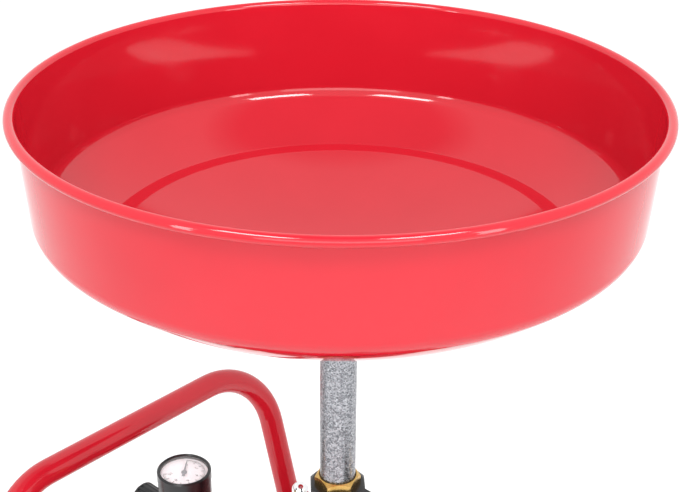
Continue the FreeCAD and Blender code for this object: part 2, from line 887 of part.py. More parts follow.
def caster_fork(x, word, top):
    """One swivelling fork with its axle pin and wheel, trailing to the front."""
    wheel_y = caster_y - caster_trail
    wheel_z = caster_od / 2
    inner = caster_wide / 2 + 2
    hole = kingpin_radius + 2 * running_gap
    crown = cut(
        centred_box((2 * inner + 2 * fork_sheet, 44, fork_sheet), (x, caster_y, top - fork_sheet)),
        rod(hole, fork_sheet + 2, (x, caster_y, top - fork_sheet - 1)),
    )
    back = 22
    boss = 11
    cheeks = []
    for face in (-inner - fork_sheet, inner):
        outline = [
            To(caster_y - back, top),
            To(wheel_y - boss, wheel_z),
            Arc(wheel_y + boss, wheel_z, wheel_y, wheel_z, 1),
            To(caster_y + back, top),
        ]
        cheeks.append(padded("Cheek", outline, fork_sheet, "YZ_Plane", (x + face, 0, 0)))
    fork = cut(
        fuse(crown, *cheeks),
        rod(caster_pin + weld_gap, 80, (x - 40, wheel_y, wheel_z), "X"),
    )
    keep(fork, f"{word}_fork")
    reach = inner + fork_sheet
    head_across = 16
    head_deep = 6
    pin = fuse(
        rod(caster_pin, 2 * reach + 8, (x - reach - 4, wheel_y, wheel_z), "X"),
        prism(head_across, head_deep, (x - reach - head_deep - 0.1, wheel_y, wheel_z), "X"),
        prism(head_across, head_deep, (x + reach + 0.1, wheel_y, wheel_z), "X"),
    )
    keep(pin, f"{word}_caster_pin")
    half = caster_wide / 2
    tread = caster_od / 2
    outline = [
        To(caster_pin + running_gap, -half - 1),
        To(14, -half - 1),
        To(14, 4 - half),
        To(tread - 14, 4 - half),
        To(tread - 11, -half),
        To(tread - 5, -half),
        Arc(tread, 5 - half, tread - 5, 5 - half, 1),
        To(tread, half - 5),
        Arc(tread - 5, half, tread - 5, half - 5, 1),
        To(tread - 11, half),
        To(tread - 14, half - 4),
        To(14, half - 4),
        To(14, half + 1),
        To(caster_pin + running_gap, half + 1),
    ]
    keep(turned("CasterWheel", outline, (x, wheel_y, wheel_z), "X"), f"{word}_caster_wheel")


# ---------------------------------------------------------------- push handle


def handle_tilt():
    return Rotation(Vector(1, 0, 0), -math.degrees(math.atan(number(handle_slope))))


def handle():
    """One bent tube: crossbar, two wide bends and two legs that run down to the axle."""
    slant = root(1 + handle_slope * handle_slope)
    leg = (handle_height - axle_level) * slant + 22
    body = new_body("Handle")
    path = sketch_on(body, "XZ_Plane", "Path")
    points = [
        (-handle_half, -leg),
        (-handle_half, -handle_bend),
        (handle_bend - handle_half, 0),
        (handle_half - handle_bend, 0),
        (handle_half, -handle_bend),
        (handle_half, -leg),
    ]
    flat = [Vector(number(x), number(y), 0) for x, y in points]
    path.addGeometry(Part.LineSegment(flat[0], flat[1]), False)
    for side, centre_x in ((-1, handle_bend - handle_half), (1, handle_half - handle_bend)):
        centre = Vector(number(centre_x), -number(handle_bend), 0)
        circle = Part.Circle(centre, Vector(0, 0, 1), number(handle_bend))
        start = math.pi / 2 if side < 0 else 0
        path.addGeometry(Part.ArcOfCircle(circle, start, start + math.pi / 2), False)
        if side < 0:
            path.addGeometry(Part.LineSegment(flat[2], flat[3]), False)
    path.addGeometry(Part.LineSegment(flat[4], flat[5]), False)
    for first, end, second, start in ((0, 2, 1, 2), (1, 1, 2, 1), (2, 2, 3, 2), (3, 1, 4, 1)):
        path.addConstraint(Sketcher.Constraint("Coincident", first, end, second, start))
    corners = ((0, 1), (0, 2), (2, 1), (2, 2), (4, 1), (4, 2))
    for (geometry, point), (x, y) in zip(corners, points):
        fix(path, "DistanceX", geometry, point, x)
        fix(path, "DistanceY", geometry, point, y)
    for geometry, centre_x in ((1, handle_bend - handle_half), (3, handle_half - handle_bend)):
        fix(path, "DistanceX", geometry, 3, centre_x)
    section = sketch_on(body, "XY_Plane", "Section")
    circle_in(section, handle_od / 2, -handle_half, 0)
    circle_in(section, handle_od / 2 - handle_wall, -handle_half, 0)
    section.AttachmentOffset = Placement(Vector(0, 0, -number(leg)), Rotation())
    section.setExpression("AttachmentOffset.Base.z", (-leg).formula)
    pipe = body.newObject("PartDesign::AdditivePipe", "Bent")
    pipe.Profile = section
    pipe.Spine = (path, [f"Edge{n}" for n in range(1, 6)])
    body.Tip = pipe
    place(body, (0, handle_reach, handle_height), handle_tilt())
    bores = [rod(axle_radius + weld_gap, 2 * axle_half, (-axle_half, axle_y, axle_level), "X")]
    for level in bolt_levels():
        bores.append(rod(ear_bolt + weld_gap, 2 * axle_half, (-axle_half, leg_y(level), level), "X"))
    keep(cut(body, *bores), "handle_tube")


def leg_y(level):
    """How far back the handle leg's centre line is at a height."""
    return handle_reach - handle_slope * (handle_height - level)


def bolt_levels():
    return (ear_low + 25, ear_high - 25)


def handle_ears():
    """Two ribs welded to the tank's sides, bolted through the handle legs."""
    inner_face = handle_half - handle_od / 2 - ear_sheet
    wall_y = root(tank_r * tank_r - inner_face * inner_face)
    ears = []
    for x in (inner_face, -inner_face - ear_sheet):
        outline = [
            To(wall_y, ear_low - 30),
            To(leg_y(ear_low) + 14, ear_low),
            To(leg_y(ear_high) + 14, ear_high),
            To(wall_y, ear_high + 40),
        ]
        ears.append(padded("Ear", outline, ear_sheet, "YZ_Plane", (x, 0, 0)))
    holes = [
        rod(ear_bolt + weld_gap, 2 * axle_half, (-axle_half, leg_y(level), level), "X")
        for level in bolt_levels()
    ]
    shell = rod(tank_r + weld_gap, barrel_length, (0, 0, seam_low))
    keep(group(*[cut(ear, shell, *holes) for ear in ears]), "handle_ears")
    bolts = []
    inside = inner_face - 0.1
    outside = handle_half + handle_od / 2 + 0.1
    ear_bolt_across = 13
    for side, along in ((-1, "-X"), (1, "X")):
        for level in bolt_levels():
            y = leg_y(level)
            shank = rod(ear_bolt, outside - inside + 12, (side * (inside - 9), y, level), along)
            nut = prism(ear_bolt_across, 7, (side * (inside - 7), y, level), along)
            head = prism(ear_bolt_across, 5, (side * outside, y, level), along)
            bolts.append(fuse(shank, nut, head))
    keep(group(*bolts), "handle_bolts")


# ---------------------------------------------------------------- air side


def air_inlet():
    """Elbow from the tank bung, regulator with gauge and knob, shut-off valve and quick plug."""
    elbow_level = body_level - outlet_drop
    bung_top = bung_level(air_bung_x, air_y) + bung_height
    body_side = air_x + body_wide / 2
    reach = air_bung_x - body_side
    drop = elbow_level - bung_top + bung_height
    pipe_down = rod(pipe_radius, drop, (air_bung_x, air_y, bung_top - bung_height))
    pipe_over = rod(pipe_radius, reach, (body_side, air_y, elbow_level), "X")
    shoulder = rod(pipe_radius + 4, 26, (air_bung_x, air_y, elbow_level - 30))
    branch = rod(pipe_radius + 4, 26, (air_bung_x - 30, air_y, elbow_level), "X")
    knee = ball(pipe_radius + 4, (air_bung_x, air_y, elbow_level))
    solid = fuse(pipe_down, pipe_over, shoulder, branch, knee)
    bore_down = rod(pipe_bore, drop, (air_bung_x, air_y, bung_top - bung_height))
    bore_over = rod(pipe_bore, reach, (body_side, air_y, elbow_level), "X")
    keep(cut(solid, bore_down, bore_over), "air_elbow")

    block = centred_box((body_wide, body_deep, body_high), (air_x, air_y, body_level - body_high / 2))
    inlet = rod(pipe_bore, body_wide / 2 + 2, (air_x - body_wide / 2, air_y, body_level), "X")
    outlet = rod(pipe_bore, body_wide / 2 + 2, (air_x - 2, air_y, elbow_level), "X")
    rounded = doc.addObject("Part::Fillet", "RoundedBlock")
    rounded.Base = block
    doc.recompute()
    rounded.Edges = [(n, 4.0, 4.0) for n in range(1, 13)]
    keep(cut(rounded, inlet, outlet), "regulator_body")

    bonnet_y = air_y + body_deep / 2
    bonnet = [
        To(0, 0),
        To(bonnet_radius + 3, 0),
        To(bonnet_radius + 3, 5),
        To(bonnet_radius, 8),
        To(bonnet_radius - 3, bonnet_length),
        To(0, bonnet_length),
    ]
    keep(turned("Bonnet", bonnet, (air_x, bonnet_y, body_level), "Y"), "regulator_bonnet")
    regulator_knob(bonnet_y + bonnet_length + 0.4)
    gauge()
    shut_off(air_x - body_wide / 2)


def regulator_knob(start):
    """Knob with a ribbed skirt, turned by hand to set the pressure."""
    body = new_body("Knob")
    outline = [
        To(0, 0),
        To(knob_radius - 1, 0),
        To(knob_radius, 2),
        To(knob_radius, knob_length - 4),
        To(knob_radius - 4, knob_length),
        To(0, knob_length),
    ]
    sketch = sketch_on(body, "XZ_Plane", "HalfSection")
    draw(sketch, outline)
    spin = body.newObject("PartDesign::Revolution", "Spin")
    spin.Profile = sketch
    spin.ReferenceAxis = (sketch, ["V_Axis"])
    spin.Angle = 360
    doc.recompute()
    flute = sketch_on(body, "XY_Plane", "Flute")
    circle_in(flute, flute_radius, knob_radius + flute_radius / 3, 0)
    groove = body.newObject("PartDesign::Pocket", "Groove")
    groove.Profile = flute
    groove.Type = 0
    groove.Reversed = True
    bind(groove, "Length", knob_length - 6)
    doc.recompute()
    ring = body.newObject("PartDesign::PolarPattern", "Flutes")
    ring.Originals = [groove]
    ring.Axis = (flute, ["N_Axis"])
    ring.Angle = 360
    ring.Occurrences = 18
    body.Tip = ring
    doc.recompute()
    keep(place(body, (air_x, start, body_level), ALONG["Y"]), "regulator_knob")


def gauge():
    """Pressure gauge facing up: stem, case, dial, pointer, lens and bezel."""
    case_foot = gauge_top - gauge_deep
    block_top = body_level + body_high / 2
    stem_across = 14
    stem = fuse(
        prism(stem_across, case_foot - block_top - 2, (air_x, air_y, block_top + 2)),
        rod(6, case_foot - block_top, (air_x, air_y, block_top)),
    )
    keep(stem, "gauge_stem")
    wall = 2
    spigot = gauge_radius - bezel_wall
    bore = spigot - wall
    case_r = gauge_radius - bezel_wall / 3
    dial_level = gauge_deep - dial_sink
    shelf = dial_level - 2
    case = [
        To(0, 0),
        To(case_r - 2, 0),
        To(case_r, 2),
        To(case_r, gauge_deep - bezel_deep - weld_gap),
        To(spigot, gauge_deep - bezel_deep - weld_gap),
        To(spigot, shelf),
        To(bore, shelf),
        To(bore, wall),
        To(0, wall),
    ]
    at = (air_x, air_y, case_foot)
    keep(turned("Case", case, at), "gauge_case")
    dial_sheet = 0.8
    dial = cut(
        rod(bore - weld_gap, dial_sheet, (air_x, air_y, case_foot + dial_level - dial_sheet)),
        rod(1.6, 2, (air_x, air_y, case_foot + dial_level - 1.5)),
    )
    keep(dial, "gauge_dial")
    hub_foot = case_foot + dial_level + 0.5
    hub_thick = 0.9
    pivot = rod(1.5, 3 + hub_thick, (air_x, air_y, hub_foot - 3))
    hub = rod(3.2, hub_thick, (air_x, air_y, hub_foot))
    tip = gauge_radius - 11
    needle = padded(
        "Needle",
        [To(-1.6, -7), To(1.6, -7), To(0.3, tip), To(-0.3, tip)],
        0.5,
        "XY_Plane",
        (air_x, air_y, hub_foot + 0.2),
        Rotation(Vector(0, 0, 1), POINTER_REST - 90),
    )
    keep(fuse(pivot, hub, needle), "gauge_pointer")
    lens_foot = gauge_deep - lens_sink
    keep(rod(spigot - weld_gap, lens_thick, (air_x, air_y, case_foot + lens_foot)), "gauge_lens")
    lip = gauge_radius - 3.6
    bezel = [
        To(spigot + weld_gap, gauge_deep - bezel_deep),
        To(gauge_radius, gauge_deep - bezel_deep),
        To(gauge_radius, gauge_deep - 1.5),
        To(gauge_radius - 1.5, gauge_deep),
        To(lip + 1, gauge_deep),
        To(lip, gauge_deep - 1),
        To(lip, lens_foot + lens_thick + weld_gap),
        To(spigot + weld_gap, lens_foot + lens_thick + weld_gap),
    ]
    keep(turned("Bezel", bezel, at), "gauge_bezel")


def shut_off(side):
    """Quarter-turn air valve with its lever, and the quick plug for the air line."""
    outline = [
        To(pipe_bore, 0),
        To(pipe_radius + 2, 0),
        To(pipe_radius + 2, 12),
        To(valve_radius, 14),
        To(valve_radius, valve_length - 14),
        To(pipe_radius + 2, valve_length - 12),
        To(pipe_radius + 2, valve_length),
        To(pipe_bore, valve_length),
    ]
    centre = side - valve_length / 2
    body = turned("AirValve", outline, (side, air_y, body_level), "-X")
    neck = rod(7, valve_radius + 6, (centre, air_y, body_level))
    chamber = ball(valve_radius - 2.9, (centre, air_y, body_level))
    stem_hole = rod(3 + running_gap, valve_radius + 8, (centre, air_y, body_level))
    through = rod(pipe_bore, valve_length, (side, air_y, body_level), "-X")
    keep(cut(fuse(body, neck), chamber, stem_hole, through), "air_valve")
    top = body_level + valve_radius + 6
    stem = rod(3, valve_radius + 10 - pipe_bore, (centre, air_y, body_level + pipe_bore))
    blade = padded(
        "AirBlade",
        [To(-8, 8), To(-6, -58), Arc(6, -58, 0, -58, 1), To(8, 8)],
        2.5,
        "XY_Plane",
        (centre, air_y, top + 0.5),
    )
    keep(fuse(stem, blade), "air_lever")
    plug = [
        To(3.5, 0),
        To(pipe_bore - weld_gap, 0),
        To(pipe_bore - weld_gap, 8),
        To(pipe_radius, 8.1),
        To(pipe_radius, 14),
        To(5, 16),
        To(5, plug_length - 14),
        To(plug_nose, plug_length - 12.5),
        To(plug_nose, plug_length - 1),
        To(plug_nose - 1, plug_length),
        To(3.5, plug_length),
    ]
    keep(turned("Plug", plug, (side - valve_length + 8, air_y, body_level), "-X"), "quick_plug")


def relief_valve():
    """Spring relief valve: hex body in its bung, and the domed pull cap."""
    bung_top = bung_level(relief_x, relief_y) + bung_height
    body_top = relief_top - 17
    relief_across = 26
    at = (relief_x, relief_y)
    body = fuse(
        rod(pipe_radius, bung_height, (*at, bung_top - bung_height)),
        prism(relief_across, 12, (*at, bung_top)),
        rod(relief_radius - 1.5, body_top - bung_top, (*at, bung_top)),
    )
    bore = rod(4, body_top - bung_top + bung_height, (*at, bung_top - bung_height))
    keep(cut(body, bore), "relief_body")
    cap = [
        To(0, -12),
        To(3.2, -12),
        To(3.2, 0),
        To(relief_radius, 0),
        To(relief_radius, 6.7),
        Arc(0, 6.7 + relief_radius, 0, 6.7, 1),
    ]
    keep(turned("ReliefCap", cap, (*at, body_top + 0.3)), "relief_cap")


def discharge():
    """Dip tube to the tank's bottom, ball valve, lever and hose barb for emptying under pressure."""
    bung_top = bung_level(dip_x, dip_y) + bung_height
    at = (dip_x, dip_y)
    keep(tube(pipe_radius, pipe_bore, bung_top - dip_foot, (*at, dip_foot)), "dip_tube")
    outline = [
        To(pipe_bore, 0.1),
        To(pipe_radius + 4, 0.1),
        To(pipe_radius + 4, 14),
        To(valve_radius + 2, 17),
        To(valve_radius + 2, discharge_height - 17),
        To(pipe_radius + 4, discharge_height - 14),
        To(pipe_radius + 4, discharge_height),
        To(pipe_bore, discharge_height),
    ]
    middle = bung_top + discharge_height / 2
    body = turned("Discharge", outline, (*at, bung_top))
    neck = rod(8, valve_radius + 10, (dip_x, dip_y, middle), "X")
    chamber = ball(valve_radius - 0.9, (*at, middle))
    stem_hole = rod(4 + running_gap, valve_radius + 12, (dip_x, dip_y, middle), "X")
    through = rod(pipe_bore, discharge_height, (*at, bung_top))
    keep(cut(fuse(body, neck), chamber, stem_hole, through), "discharge_valve")
    stem = rod(4, valve_radius + 15 - pipe_bore - 1, (dip_x + pipe_bore + 1, dip_y, middle), "X")
    blade = padded(
        "DischargeBlade",
        [To(10, -9), To(10, 9), To(-80, 7), Arc(-80, -7, -80, 0, 1)],
        3,
        "YZ_Plane",
        (dip_x + valve_radius + 11, dip_y, middle),
    )
    keep(fuse(stem, blade), "discharge_lever")
    top = bung_top + discharge_height
    knee = fuse(
        rod(pipe_radius + 3, 14, (*at, top + 0.1)),
        ball(pipe_radius + 3.6, (*at, top + 14)),
        rod(pipe_radius + 3, 18, (dip_x, dip_y, top + 14), "-Y"),
    )
    bores = (
        rod(pipe_bore - 1, 15, (*at, top - 1)),
        rod(pipe_bore - 1.4, 20, (dip_x, dip_y, top + 14), "-Y"),
    )
    keep(cut(knee, *bores), "discharge_elbow")
    ridges = 3
    crest = barb_radius + 1.2
    steps = [To(barb_radius - 3, 0), To(crest + 1.8, 0), To(crest + 1.8, 6), To(barb_radius, 6)]
    for index in range(ridges):
        foot = 10 + index * 7
        steps += [To(barb_radius, foot), To(crest, foot), To(barb_radius, foot + 6)]
    steps += [To(barb_radius, barb_length), To(barb_radius - 3, barb_length)]
    keep(turned("Barb", steps, (dip_x, dip_y - 18.1, top + 14), "-Y"), "hose_barb")


def sight_gauge():
    """Clear level tube between two brass elbows, with a float ball."""
    y = -tank_r - sight_reach
    elbow_across = 24
    elbows = []
    for level, way in ((sight_low, 1), (sight_high, -1)):
        nipple = rod(sight_radius, sight_reach + 8, (0, 8 - tank_r, level), "-Y")
        hexagon = prism(elbow_across, 10, (0, -tank_r - 10.5, level), "-Y")
        foot = level - 12 if way > 0 else level - 14
        post = rod(12, 26, (0, y, foot))
        socket = rod(sight_radius + weld_gap, 20, (0, y, level if way > 0 else level - 20))
        passage = rod(4, sight_reach + 8, (0, 8 - tank_r, level), "-Y")
        elbows.append(cut(fuse(nipple, hexagon, post), socket, passage))
    keep(group(*elbows), "sight_elbows")
    span = sight_high - sight_low - 6
    keep(tube(sight_radius, sight_radius - sight_wall, span, (0, y, sight_low + 3)), "sight_tube")
    keep(ball(float_radius, (0, y, sight_low + float_gap)), "sight_float")


def check_and_write():
    """Stop on any failed feature or bad shape, then write one file per piece."""
    doc.recompute()
    bad = [o.Name for o in doc.Objects if "Invalid" in o.State or "Error" in o.State]
    if bad:
        raise RuntimeError(f"features failed: {bad}")
    for thing in pieces:
        if thing.Shape.isNull() or not thing.Shape.isValid() or not thing.Shape.Solids:
            raise RuntimeError(f"bad shape: {thing.Label}")
    os.makedirs("parts", exist_ok=True)
    for thing in pieces:
        thing.Shape.exportStep(f"parts/{thing.Label}.step")
        print(f"{thing.Label:22s} {len(thing.Shape.Solids)} solids {thing.Shape.Volume / 1000:10.2f} cm3")


pan_bowl()
drain_strainer()
pan_flange()
flange_fasteners()
pole()
mast()
gland()
tank()
bungs()
skirt()
base()
rear_wheel(-1, "left")
rear_wheel(1, "right")
casters()
handle()
handle_ears()
air_inlet()
relief_valve()
discharge()
sight_gauge()
check_and_write()
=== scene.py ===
import json
import math

import bmesh
import bpy
from mathutils import Matrix, Vector


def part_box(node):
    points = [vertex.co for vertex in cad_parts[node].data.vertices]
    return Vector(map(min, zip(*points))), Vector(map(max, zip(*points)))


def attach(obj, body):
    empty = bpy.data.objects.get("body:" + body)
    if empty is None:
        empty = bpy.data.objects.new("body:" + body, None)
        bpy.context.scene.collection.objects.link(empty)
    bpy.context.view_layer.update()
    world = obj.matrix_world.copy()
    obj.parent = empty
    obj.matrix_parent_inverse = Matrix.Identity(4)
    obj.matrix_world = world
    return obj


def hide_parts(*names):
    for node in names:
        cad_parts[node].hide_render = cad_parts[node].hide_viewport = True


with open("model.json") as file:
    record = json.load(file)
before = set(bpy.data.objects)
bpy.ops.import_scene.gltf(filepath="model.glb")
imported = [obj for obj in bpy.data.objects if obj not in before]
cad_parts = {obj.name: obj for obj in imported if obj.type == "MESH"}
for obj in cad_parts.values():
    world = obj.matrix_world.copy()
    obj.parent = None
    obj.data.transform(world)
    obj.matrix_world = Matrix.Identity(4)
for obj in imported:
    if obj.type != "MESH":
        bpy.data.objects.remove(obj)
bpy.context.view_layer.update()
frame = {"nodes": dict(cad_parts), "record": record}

# Roll-around oil drain: gloss red catch pan on a galvanised pole, brass gland, red tank and handle.
# Metres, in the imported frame: +Z up, the push bar behind the tank at +Y.

MM = 0.001
RELIEF = 0.1 * MM  # full depth of the surface textures
TONE_STOPS = (0.3, 0.7)  # noise values at which the darker and the lighter tone are reached
PAN_LOW, PAN_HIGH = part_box("pan_bowl")
RIM_TOP = PAN_HIGH.z


def linear(code):
    """One sRGB hex colour as linear RGBA."""
    parts = [int(code[i : i + 2], 16) / 255 for i in (1, 3, 5)]
    return (*[c / 12.92 if c <= 0.04045 else ((c + 0.055) / 1.055) ** 2.4 for c in parts], 1.0)


def pitch(size_mm):
    """Texture scale that repeats once over a real size in millimetres."""
    return 1000.0 / size_mm


# ---------------------------------------------------------------- materials


def add(tree, kind, inputs=None, **settings):
    """Add one node with its settings, and set or link its inputs."""
    made = tree.nodes.new(kind)
    for name, value in settings.items():
        setattr(made, name, value)
    for key, value in (inputs or {}).items():
        if isinstance(value, bpy.types.NodeSocket):
            tree.links.new(value, made.inputs[key])
        else:
            made.inputs[key].default_value = value
    return made


def new_finish(name, sockets):
    """A material whose shader has its constant values on its own sockets."""
    mat = bpy.data.materials.new(name)
    mat.use_nodes = True
    shader = mat.node_tree.nodes["Principled BSDF"]
    for key, value in sockets.items():
        shader.inputs[key].default_value = value
    return mat, mat.node_tree, shader


def surface(name, sockets, drift_mm, detail, tones, roughness, texture, height, relief):
    """A finish whose tone and polish drift slowly between two values, over a fine relief."""
    mat, tree, shader = new_finish(name, sockets)
    place = add(tree, "ShaderNodeTexCoord").outputs["Object"]
    drift = add(
        tree, "ShaderNodeTexNoise", {"Vector": place, "Scale": pitch(drift_mm), "Detail": detail}
    )
    tone = add(tree, "ShaderNodeValToRGB", {"Fac": drift.outputs["Fac"]})
    for stop, level, code in zip(tone.color_ramp.elements, TONE_STOPS, tones):
        stop.position = level
        stop.color = linear(code)
    tree.links.new(tone.outputs["Color"], shader.inputs["Base Color"])
    polish = add(
        tree,
        "ShaderNodeMapRange",
        {"Value": drift.outputs["Fac"], "To Min": roughness[0], "To Max": roughness[1]},
    )
    tree.links.new(polish.outputs["Result"], shader.inputs["Roughness"])
    kind, settings = texture
    grain = add(tree, kind, {"Vector": place, **settings})
    bump = add(
        tree,
        "ShaderNodeBump",
        {"Height": grain.outputs[height], "Strength": relief, "Distance": RELIEF},
    )
    tree.links.new(bump.outputs["Normal"], shader.inputs["Normal"])
    return mat, tree, shader, bump


def enamel(name, tones, peel_mm, peel, roughness, coat):
    """Baked gloss enamel: even colour, a wet shine and the faint orange peel of sprayed powder."""
    sockets = {"IOR": 1.48, "Coat Weight": coat, "Coat Roughness": 0.03, "Coat IOR": 1.5}
    texture = ("ShaderNodeTexNoise", {"Scale": pitch(peel_mm), "Detail": 1.5})
    finish = surface(name, sockets, 70, 3.0, tones, roughness, texture, "Fac", peel)
    mat, tree, shader, bump = finish
    tree.links.new(bump.outputs["Normal"], shader.inputs["Coat Normal"])
    return mat


def galvanised():
    """Hot-dip zinc on drawn tube: crystal spangle of about 1.5 mm and long drawing lines."""
    mat, tree, shader = new_finish("galvanised_tube", {"Metallic": 1.0})
    place = add(tree, "ShaderNodeTexCoord").outputs["Object"]
    crystal = add(tree, "ShaderNodeTexVoronoi", {"Vector": place, "Scale": pitch(1.5)})
    split = add(tree, "ShaderNodeSeparateColor", {"Color": crystal.outputs["Color"]})
    tone = add(tree, "ShaderNodeValToRGB", {"Fac": split.outputs["Red"]})
    tone.color_ramp.elements[0].position = 0.0
    tone.color_ramp.elements[0].color = linear("#6f7276")
    tone.color_ramp.elements[1].position = 1.0
    tone.color_ramp.elements[1].color = linear("#c6c7cb")
    stretch = add(tree, "ShaderNodeMapping", {"Vector": place, "Scale": (1.0, 1.0, 0.02)})
    lines = add(
        tree,
        "ShaderNodeTexNoise",
        {"Vector": stretch.outputs["Vector"], "Scale": pitch(3.0), "Detail": 2.0},
    )
    # sockets 6 and 7 are the mix's two colours
    dull = add(
        tree,
        "ShaderNodeMix",
        {"Factor": lines.outputs["Fac"], 6: tone.outputs["Color"], 7: linear("#c4c6ca")},
        data_type="RGBA",
        blend_type="MULTIPLY",
    )
    tree.links.new(dull.outputs[2], shader.inputs["Base Color"])
    rough = add(
        tree, "ShaderNodeMapRange", {"Value": split.outputs["Green"], "To Min": 0.22, "To Max": 0.48}
    )
    tree.links.new(rough.outputs["Result"], shader.inputs["Roughness"])
    facets = add(
        tree,
        "ShaderNodeBump",
        {"Height": split.outputs["Blue"], "Strength": 0.35, "Distance": 0.12 * MM},
    )
    tree.links.new(facets.outputs["Normal"], shader.inputs["Normal"])
    return mat


def bright_metal(name, tones, roughness, grain_mm, relief):
    """Bare or plated metal: tone and polish that wander a little over a fine grain."""
    texture = ("ShaderNodeTexNoise", {"Scale": pitch(grain_mm), "Detail": 2.0})
    return surface(name, {"Metallic": 1.0}, 9, 4.0, tones, roughness, texture, "Fac", relief)[0]


def moulded(name, tones, roughness, grain_mm, relief, ior):
    """Moulded rubber or plastic: matt skin with the mould's fine texture."""
    texture = ("ShaderNodeTexVoronoi", {"Scale": pitch(grain_mm)})
    return surface(name, {"IOR": ior}, 14, 4.0, tones, roughness, texture, "Distance", relief)[0]


def clear_plastic(name, clearness, alpha):
    """Clear acrylic: smooth, barely tinted, with a hint of haze."""
    sockets = {
        "IOR": 1.49,
        "Transmission Weight": clearness,
        "Base Color": linear("#f4f8f8"),
        "Alpha": alpha,
    }
    mat, tree, shader = new_finish(name, sockets)
    place = add(tree, "ShaderNodeTexCoord").outputs["Object"]
    cloud = add(tree, "ShaderNodeTexNoise", {"Vector": place, "Scale": pitch(25), "Detail": 2.0})
    haze = add(
        tree, "ShaderNodeMapRange", {"Value": cloud.outputs["Fac"], "To Min": 0.01, "To Max": 0.05}
    )
    tree.links.new(haze.outputs["Result"], shader.inputs["Roughness"])
    return mat


# Each finish by its slot's name, with its darker and lighter tone, roughness, and texture size in mm.
FINISHES = {
    # powder-coated sheet: saturated red that mirrors the studio, with soft orange peel
    "red_enamel": enamel("red_enamel", ("#b01624", "#b31826"), 2.6, 0.06, (0.05, 0.08), 0.0),
    # sprayed on welded tube: near black with a blurred shine
    "black_enamel": enamel("black_enamel", ("#060607", "#0c0c0f"), 1.8, 0.15, (0.22, 0.30), 0.0),
    # stoved on pressed wheel discs: pale grey under a thin clear coat
    "wheel_enamel": enamel("wheel_enamel", ("#b9bbbd", "#c6c8ca"), 2.2, 0.12, (0.26, 0.34), 0.2),
    "galvanised_tube": galvanised(),
    # bright zinc plate: cool grey, with a mild blur from the plating
    "zinc_steel": bright_metal("zinc_steel", ("#aab0b6", "#cdd0d2"), (0.22, 0.36), 0.8, 0.10),
    # zinc casting, as cast: dull grey and slightly sandy
    "die_cast": bright_metal("die_cast", ("#8e9194", "#a9acae"), (0.42, 0.55), 0.6, 0.35),
    # machined brass: warm yellow with a turned sheen
    "brass": bright_metal("brass", ("#b08a48", "#d2ae6c"), (0.18, 0.32), 0.7, 0.08),
    # polished chrome plate: a clear mirror
    "chrome": bright_metal("chrome", ("#d8d9db", "#eceded"), (0.04, 0.08), 1.5, 0.02),
    # cut gasket sheet: flat black
    "nitrile_rubber": moulded(
        "nitrile_rubber", ("#101011", "#191a1b"), (0.6, 0.75), 0.5, 0.2, 1.52
    ),
    # vulcanised tread: black that greys a little where it is dusty
    "tyre_rubber": moulded("tyre_rubber", ("#131314", "#1f2021"), (0.62, 0.8), 0.6, 0.25, 1.52),
    # harder caster tread: a shade lighter and smoother
    "caster_rubber": moulded("caster_rubber", ("#1a1b1d", "#26282a"), (0.5, 0.65), 0.6, 0.2, 1.52),
    # glass-filled nylon: black, with a fine mould grain and a broad sheen
    "black_plastic": moulded("black_plastic", ("#08080a", "#0f1012"), (0.30, 0.42), 0.45, 0.25, 1.5),
    # dipped lever sleeves: soft red with a thick rounded skin
    "red_vinyl": moulded("red_vinyl", ("#a01824", "#b01e2a"), (0.3, 0.4), 1.2, 0.12, 1.53),
    # polypropylene float: orange red
    "float_red": moulded("float_red", ("#c8231a", "#d63224"), (0.3, 0.4), 0.8, 0.1, 1.5),
    # printed aluminium dial: flat white paint
    "dial_white": moulded("dial_white", ("#eeeef2", "#f7f7f9"), (0.45, 0.55), 0.3, 0.02, 1.5),
    # painted pointer
    "pointer_grey": moulded("pointer_grey", ("#5b6068", "#6b7078"), (0.3, 0.4), 0.3, 0.03, 1.5),
    # acrylic tube, thick enough to bend light
    "clear_plastic": clear_plastic("clear_plastic", 1.0, 1.0),
    # acrylic window, thin enough to let the dial show undimmed
    "thin_lens": clear_plastic("thin_lens", 0.0, 0.12),
    # screen ink: matt black
    "dial_ink": moulded("dial_ink", ("#101013", "#18181c"), (0.45, 0.55), 0.3, 0.02, 1.5),
}

SLOT_OF = {row["node"]: row["material_slot"] for row in frame["record"]["subparts"]}
BODY_OF = {
    node: body
    for body, nodes in frame["record"]["behaviour"]["bodies"].items()
    for node in nodes
}


def dress(piece, slot_name):
    """Give a piece one of the finishes, in place of any it had."""
    piece.data.materials.clear()
    piece.data.materials.append(FINISHES[slot_name])


for node_name, cad_node in frame["nodes"].items():
    dress(cad_node, SLOT_OF[node_name])
dress(frame["nodes"]["gauge_lens"], "thin_lens")


# ---------------------------------------------------------------- mesh tools

CREASE_DEG = 32  # edges sharper than this stay crisp
SAME_PLACE = 1e-7  # vertices nearer than this are one


def arc(cx, cy, radius, start, stop, steps):
    """Points along an arc of a profile; angles in degrees."""
    points = []
    for i in range(steps + 1):
        a = math.radians(start + (stop - start) * i / steps)
        points.append((cx + radius * math.cos(a), cy + radius * math.sin(a)))
    return points


def new_piece(name, mesh, slot_name, body, stands_for=None):
    """Make a piece of a new mesh: shade it, dress it, and let it ride on its body."""
    mesh.shade_smooth()
    mesh.set_sharp_from_angle(angle=math.radians(CREASE_DEG))
    piece = bpy.data.objects.new(name, mesh)
    bpy.context.scene.collection.objects.link(piece)
    dress(piece, slot_name)
    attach(piece, body)
    if stands_for:
        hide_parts(stands_for)
    return piece


